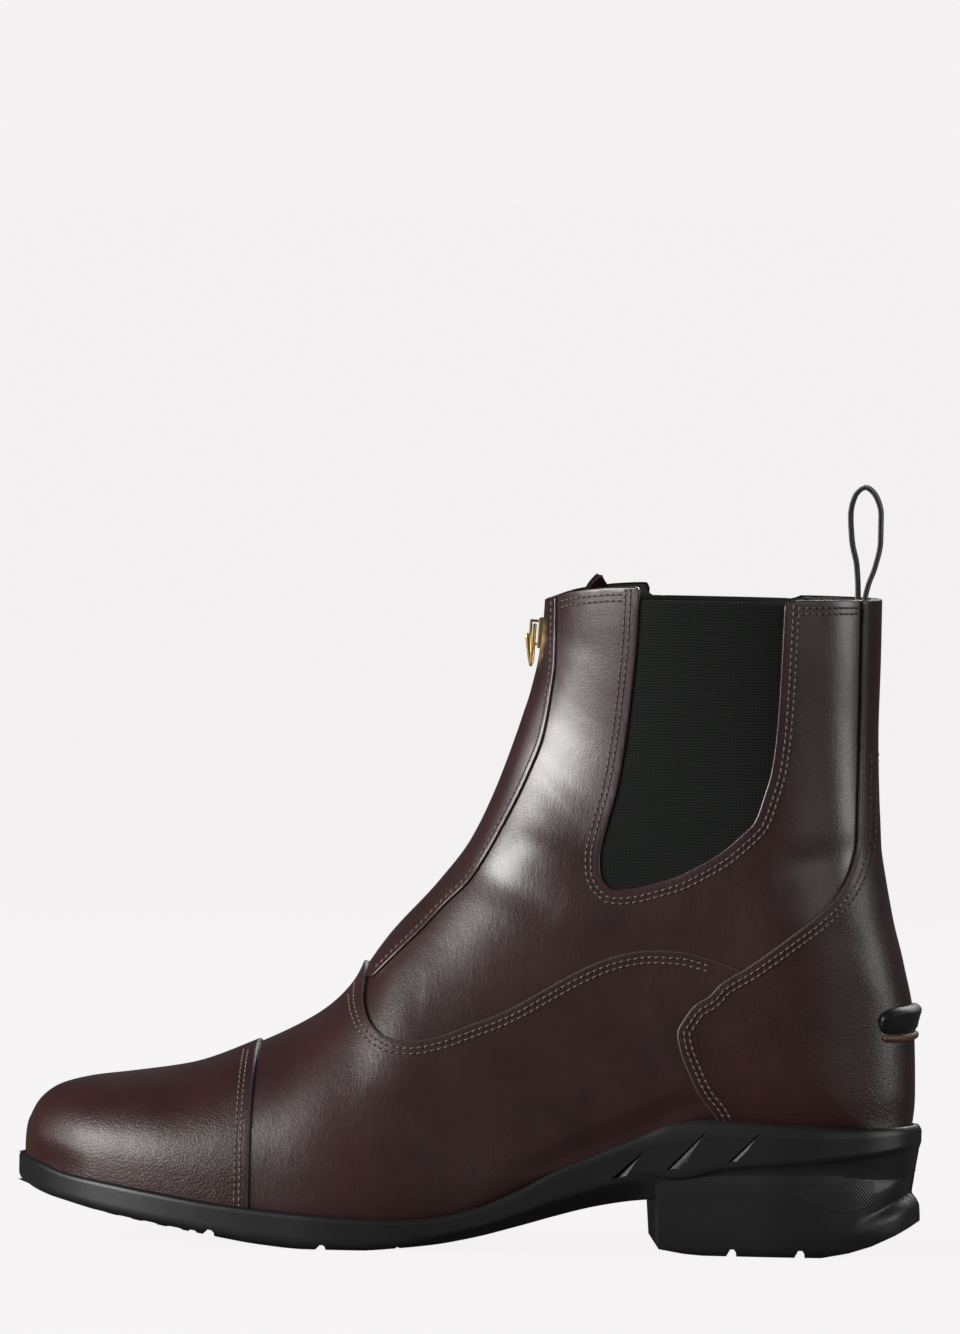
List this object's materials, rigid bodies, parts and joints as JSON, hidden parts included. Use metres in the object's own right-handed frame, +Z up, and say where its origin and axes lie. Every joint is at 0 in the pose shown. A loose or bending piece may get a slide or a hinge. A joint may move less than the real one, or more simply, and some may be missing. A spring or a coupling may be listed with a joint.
{
  "type": "paddock boot",
  "caption": "Left paddock boot in dark burgundy leather with a front zip, elastic side gores, a pull loop, a spur rest and a black rubber sole.",
  "frame": {"origin": "on the floor under the middle of the boot's length and width", "axes": "+X from the toe to the heel, +Y to the inner side of the boot, +Z up"},
  "size_m": [0.2806, 0.0957, 0.2371],
  "materials": {
    "smooth_leather": "polished dark burgundy leather with fine creases",
    "grained_leather": "polished dark burgundy leather with a fine pebble grain",
    "elastic": "matt ribbed elastic",
    "rubber": "satin moulded rubber",
    "lining": "matt textile lining",
    "webbing": "matt woven webbing",
    "brass": "worn satin brass"
  },
  "bodies": {
    "boot": {"counter": "grained_leather", "gore_inner": "elastic", "gore_outer": "elastic", "insole": "lining", "outsole": "rubber", "pull_loop": "webbing", "spur_rest": "rubber", "toe_cap": "grained_leather", "upper": "smooth_leather", "vamp": "smooth_leather", "zip_facing_inner": "smooth_leather", "zip_facing_outer": "smooth_leather", "zip_guard": "smooth_leather", "zip_slider": "brass", "zip_tape": "webbing", "zip_teeth": "brass"},
    "pull": {"zip_pull": "brass"}
  },
  "joints": [
    {"name": "pull_hinge", "type": "hinge", "parent": "boot", "child": "pull", "pos_m": [0.01696, 0, 0.19237], "axis": [0, 1, 0], "range_deg": [0, 160]}
  ]
}
